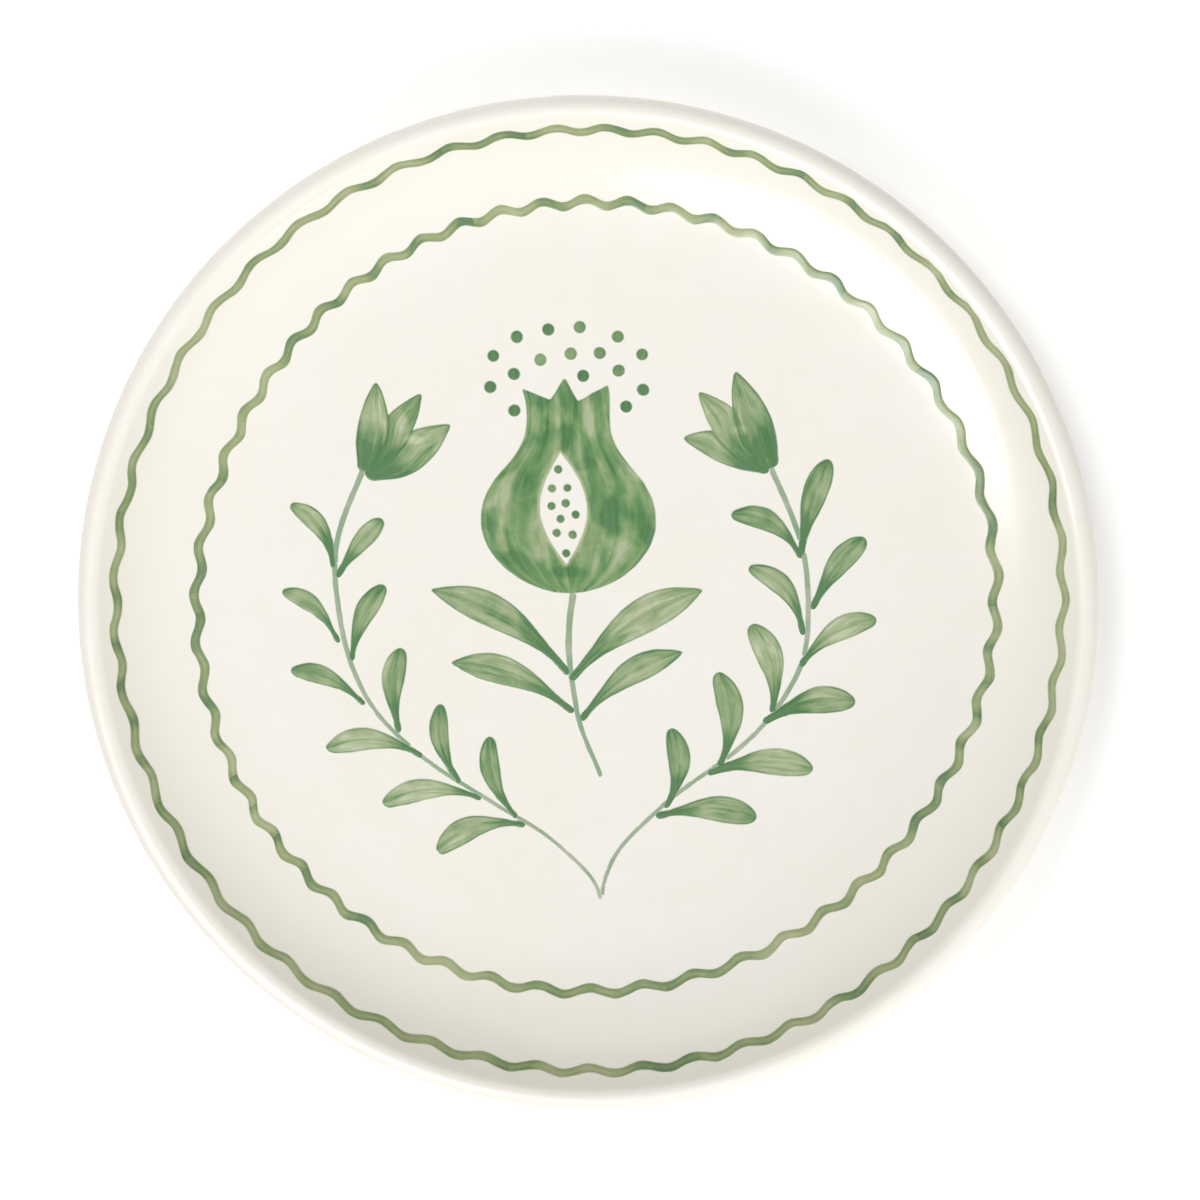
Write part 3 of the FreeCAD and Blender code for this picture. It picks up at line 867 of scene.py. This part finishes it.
def paint_material(name, stops, look, touches=()):
    """Brush paint under the glaze: streaks along the stroke, darker where it pooled.

    The look says how strong each effect is, the stops give the colours from dark to pale,
    and the touches are patches where the paint pooled or ran thin.
    """
    shader = Shader(name)
    along, side, seed = shader.attribute("stroke")
    part, rim, edge = shader.attribute("spot")
    if "strokes" in look:
        along, part, seed = round_strokes(shader, seed, look["strokes"])
    shift = shader.math("MULTIPLY", seed, 31.0)

    def streaks(length, width, detail):
        ways = (shader.math("DIVIDE", along, length), shader.math("DIVIDE", side, width))
        return shader.noise(shader.vector(*ways, shift), 1.0, detail, 0.5)

    patch = shader.noise(shader.vector(along, side, seed), 1.0 / look["patch"], 3.0, 0.6)
    width = look["streak"]
    fine = streaks(6.0 * width, 0.35 * width, 3.0)
    near_edge = shader.ramp(edge, *HOLE_WIDTH, 1.0, 0.0)
    at_hole = shader.math("MULTIPLY", near_edge, shader.ramp(rim, *HOLE_CLEAR))
    at_base = shader.ramp(part, look["base_from"], look["base_to"], 1.0, 0.0)
    in_vein = shader.ramp(shader.math("ABSOLUTE", side), 0.0, 0.45 * width, 1.0, 0.0)
    amount = look["tone"]
    for value, weight in (
        (shader.math("SUBTRACT", streaks(5.0 * width, width, 2.0), 0.5), look["streaks"]),
        (shader.math("SUBTRACT", fine, 0.5), look["fine"]),
        (shader.ramp(fine, *THIN_LINES), -look["lines"]),
        (shader.math("SUBTRACT", patch, 0.5), look["patches"]),
        (shader.math("SUBTRACT", seed, 0.5), look["spread"]),
        (at_base, -look["base"]),
        (shader.ramp(part, *TIP_PART), -look["tip"]),
        (shader.ramp(rim, *RIM_WIDTH, 1.0, 0.0), -look["rim"]),
        (in_vein, -look["vein"]),
        (at_hole, look["hole"]),
        *[(touch(shader, *where), much) for *where, much in touches],
    ):
        amount = shader.math("MULTIPLY_ADD", value, weight, amount)
    colour = shader.steps(amount, stops)
    cover = shader.ramp(edge, 0.0, look["soft"], LEAST_COVER, 1.0)
    cover = shader.math("MAXIMUM", cover, shader.ramp(part, *START_PART, look["start"], 0.0))
    thin = shader.ramp(fine, 0.25, 0.75, look["strength"] - STREAK_COVER, look["strength"])
    roughness, normal = glaze_gloss(shader)
    colour = shader.blend(shader.math("MULTIPLY", cover, thin), glaze_colour(shader), colour)
    return shader.finish(colour, roughness, normal, IOR=GLAZE_IOR)


# ---------------------------------------------------------------- building the plate

coat_section = seam("glaze_coat")
pool_section = seam("foot_well_glaze")
coat_line = int(np.argmin(coat_section[:, 1]))
pool_line = int(np.argmin(pool_section[:, 1]))
crest = int(np.argmax(coat_section[:, 1]))
LIP_RADIUS = coat_section[crest][0]
FACE = refined(coat_section[:crest + 1], 0, crest)
fruit_low, fruit_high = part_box("pomegranate_fruit")
PAINT_THICKNESS = fruit_high.z - fruit_low.z

glaze = glaze_material()
coat = refined(coat_section, 0, coat_line)
visible = len(refined(coat_section[:coat_line + 1], 0, coat_line))
shown(turned("glaze_skin", coat, range(visible), glaze), "glaze_coat")
pool = refined(pool_section, pool_line, len(pool_section))
hidden = len(refined(pool_section[:pool_line + 1], pool_line, pool_line))
shown(turned("foot_well_skin", pool, range(hidden, len(pool)), glaze), "foot_well_glaze")

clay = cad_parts["clay_body"]
clay.data.materials.clear()
clay.data.materials.append(clay_material())

# Colours from where the paint pooled to where it ran thin
LEAF_STOPS = (
    (0.0, DEEP_GREEN), (0.30, LEAF_GREEN), (0.58, OLIVE_GREEN), (0.80, PALE_OLIVE),
    (1.0, CREAM_WASH),
)
FRUIT_STOPS = (
    (0.0, DEEP_GREEN), (0.30, FRUIT_GREEN), (0.55, MOSS_GREEN), (0.78, OLIVE_GREEN),
    (1.0, PALE_OLIVE),
)
LINE_STOPS = ((0.0, LINE_DEEP), (0.30, LINE_GREEN), (0.62, LINE_OLIVE), (1.0, LINE_PALE))
STEM_STOPS = ((0.0, STEM_TEAL), (0.40, STEM_GREEN), (0.75, STEM_GREY), (1.0, CREAM_WASH))

# How each paint lies: its middle tone from 0 to 1 along the stops, then what is added to it or
# taken from it by broad and fine streaks, thin dark lines, patches, the stroke's own number,
# its base (over this part of its length), tip, rim and middle vein, and the edge of a hole;
# "strength" is how much of the glaze it hides, "start" how much its thin base still hides,
# and "soft" how far its edge fades. "streak" and "patch" are widths.
LEAF_LOOK = {
    "tone": 0.62, "streak": 2.1 * MM, "streaks": 1.2, "fine": 0.5, "lines": 0.28, "patch": 6.0 * MM,
    "patches": 0.7, "spread": 0.40, "base": 0.70, "base_from": 0.10, "base_to": 0.50,
    "tip": 0.26, "rim": 0.40, "vein": 0.22, "hole": 0.0, "strength": 0.97, "start": 1.0,
    "soft": 0.34 * MM,
}
TULIP_LOOK = {
    **LEAF_LOOK, "tone": 0.50, "base": 0.80, "base_from": 0.10, "base_to": 0.60, "vein": 0.05,
    "tip": 0.10,
}
FRUIT_LOOK = {
    "tone": 0.43, "streak": 4.4 * MM, "streaks": 1.9, "fine": 0.7, "lines": 0.14, "patch": 7.0 * MM,
    "patches": 1.5, "spread": 0.0, "base": 0.0, "base_from": 0.0, "base_to": 0.1, "tip": 0.0,
    "rim": 0.10, "vein": 0.0, "hole": 0.60, "strength": 0.98, "start": 0.0,
    "soft": 0.34 * MM,
}
DOT_LOOK = {
    **LEAF_LOOK, "tone": 0.14, "streaks": 0.3, "fine": 0.1, "lines": 0.0, "patches": 0.5, "spread": 0.45,
    "base": 0.0, "tip": 0.0, "rim": 0.10, "vein": 0.0, "start": 0.0,
}
STEM_LOOK = {
    **LEAF_LOOK, "tone": 0.52, "streak": 1.0 * MM, "streaks": 0.4, "lines": 0.0, "patch": 9.0 * MM,
    "patches": 1.9, "spread": 0.1, "base": 0.0, "tip": 0.0, "rim": 0.10, "vein": 0.0,
    "strength": 0.95, "start": 0.0, "soft": 0.18 * MM,
}
LINE_LOOK = {
    **LEAF_LOOK, "tone": 0.62, "streak": 1.0 * MM, "streaks": 0.8, "lines": 0.0, "patch": 13.0 * MM,
    "patches": 1.3, "spread": 0.30, "base": 0.50, "base_from": 0.02, "base_to": 0.36,
    "tip": 0.30, "rim": 0.12, "vein": -0.16, "strength": 0.95, "start": 0.0,
    "soft": 0.28 * MM, "strokes": 24.0,    # brush strokes round the plate
}

# Where the brush stopped and the paint pooled (minus), or ran thin (plus): x, y, half
# width and half height in mm, and how much
FRUIT_TOUCHES = (
    (-6.8, 44.5, 3.6, 3.4, -0.45),
    (7.2, 22.4, 4.6, 5.4, -0.50),
    (-5.5, 8.0, 4.6, 1.6, -0.40),
    (-20.8, 11.7, 2.4, 2.0, -0.35),
    (15.5, 18.2, 1.6, 2.4, -0.35),
    (1.1, 39.8, 2.0, 5.0, -0.30),
    (-25.4, 21.0, 1.4, 5.5, -0.35),
    (-18.0, 33.0, 2.2, 6.0, -0.20),
    (-21.6, 25.5, 1.7, 6.0, 0.32),
    (-14.4, 17.0, 2.2, 6.5, 0.28),
    (10.2, 12.8, 2.8, 3.6, 0.38),
    (11.6, 33.5, 1.8, 6.5, 0.36),
    (-0.3, 49.0, 1.8, 5.0, 0.32),
    (-14.0, 49.0, 1.8, 4.0, 0.22),
    (2.2, 9.0, 1.6, 4.0, 0.28),
    (-8.6, 36.0, 1.4, 4.0, 0.22),
)
TULIP_TOUCHES = (
    (-49.4, 47.3, 1.6, 2.8, 0.36),
    (-46.4, 43.0, 2.8, 1.3, 0.36),
    (-57.8, 34.8, 3.2, 2.2, -0.30),
    (47.4, 38.0, 1.1, 0.9, 0.50),
    (40.0, 46.0, 2.5, 1.2, 0.20),
)

leaf_paint = paint_material("leaf_paint", LEAF_STOPS, LEAF_LOOK)
tulip_paint = paint_material("tulip_paint", LEAF_STOPS, TULIP_LOOK, TULIP_TOUCHES)
fruit_paint = paint_material("fruit_paint", FRUIT_STOPS, FRUIT_LOOK, FRUIT_TOUCHES)
dot_paint = paint_material("dot_paint", LEAF_STOPS, DOT_LOOK)
stem_paint = paint_material("stem_paint", STEM_STOPS, STEM_LOOK)
line_paint = paint_material("line_paint", LINE_STOPS, LINE_LOOK)

brushed("pomegranate_fruit", fruit_paint)
brushed("pomegranate_seeds", dot_paint, rounding=0)
brushed("crown_dots", dot_paint, rounding=0)
brushed("pomegranate_stalk", stem_paint, bleed=STEM_BLEED, joins=True)
brushed("stalk_leaves", leaf_paint, "pomegranate_stalk", joins=True)
for side in ("left", "right"):
    branch = side + "_branch_stem"
    brushed(branch, stem_paint, bleed=STEM_BLEED, joins=True)
    brushed(side + "_branch_leaves", leaf_paint, branch, joins=True)
    brushed(side + "_tulip", tulip_paint, branch, PETAL_BLEED, rounding=PETAL_ROUNDING)
wavy_band("inner_wavy_line", line_paint)
wavy_band("outer_wavy_line", line_paint)


# ---------------------------------------------------------------- floor, light, camera

def floor_material():
    """A white studio floor that glows a little, so that it stays white."""
    shader = Shader("studio_floor")
    grain = shader.noise(shader.place(), 6.0, 2.0)
    shader.surface.inputs["Emission Color"].default_value = (1.0, 1.0, 1.0, 1.0)
    shader.surface.inputs["Emission Strength"].default_value = FLOOR_GLOW
    colour = shader.blend(grain, (0.93, 0.93, 0.93), (0.95, 0.95, 0.95))
    return shader.finish(colour, 0.9, shader.bump(grain, 0.01 * MM))


def soft_light(name, bearing, elevation, distance, width, height, power, seen, shape="RECTANGLE"):
    """A white studio light that faces the plate from this side.

    A light is seen either "lit", when it shapes the form, or "mirrored", in the glaze alone.
    """
    data = bpy.data.lights.new(name, "AREA")
    data.shape = shape
    data.size = width
    data.size_y = height
    data.energy = power
    light = bpy.data.objects.new(name, data)
    bpy.context.scene.collection.objects.link(light)
    turn, rise = math.radians(bearing), math.radians(elevation)
    level = math.cos(rise)
    away = Vector((math.cos(turn) * level, math.sin(turn) * level, math.sin(rise)))
    light.location = away * distance
    light.rotation_mode = "QUATERNION"
    light.rotation_quaternion = away.to_track_quat("Z", "Y")
    light.visible_glossy = seen == "mirrored"
    light.visible_diffuse = seen == "lit"


floor_z = cad_low.z - FLOOR_GAP
corners = [(x, y, floor_z) for x, y in FLOOR_REACH * np.array(((-1, -1), (1, -1), (1, 1), (-1, 1)))]
floor_mesh = bpy.data.meshes.new("studio_floor")
floor_mesh.from_pydata(corners, [], [(0, 1, 2, 3)])
floor_mesh.materials.append(floor_material())
floor = bpy.data.objects.new("studio_floor", floor_mesh)
bpy.context.scene.collection.objects.link(floor)

# Name, bearing and elevation in degrees, distance, width and height in metres, watts
soft_light("main_softbox", 222, 47, 3.0, 2.3, 2.3, 21, "lit")
soft_light("front_fill", 255, 40, 3.0, 2.0, 2.0, 15, "lit")
soft_light("right_fill", 300, 40, 3.0, 2.0, 2.0, 24, "lit")
soft_light("top_fill", 110, 60, 1.0, 0.4, 0.4, 4.3, "lit")
soft_light("low_fill", 312, 14, 1.5, 0.5, 0.3, 5, "lit")
soft_light("round_softbox", 231, 48, 3.0, 1.75, 2.1, 84, "mirrored", "ELLIPSE")
soft_light("low_strip", 301, 2.5, 1.5, 0.86, 0.12, 1.3, "mirrored")

world = bpy.data.worlds.new("studio")
world.use_nodes = True
background = world.node_tree.nodes["Background"]
background.inputs["Color"].default_value = SKY_COLOUR
background.inputs["Strength"].default_value = SKY_STRENGTH
bpy.context.scene.world = world
bpy.context.scene.view_settings.view_transform = "Standard"

camera_data = bpy.data.cameras.new("camera")
camera_data.lens = CAMERA_LENS
camera = bpy.data.objects.new("camera", camera_data)
bpy.context.scene.collection.objects.link(camera)
away = Vector((math.tan(CAMERA_LEAN_X), math.tan(CAMERA_LEAN_Y), 1.0)).normalized()
right = Vector((0.0, 1.0, 0.0)).cross(away).normalized()
up = away.cross(right)
aim = Vector((CAMERA_AIM_X, CAMERA_AIM_Y, coat_section[crest][1]))
turn = Matrix((right, up, away)).transposed().to_4x4()
camera.matrix_world = Matrix.Translation(aim + away * CAMERA_DISTANCE) @ turn
bpy.context.scene.camera = camera
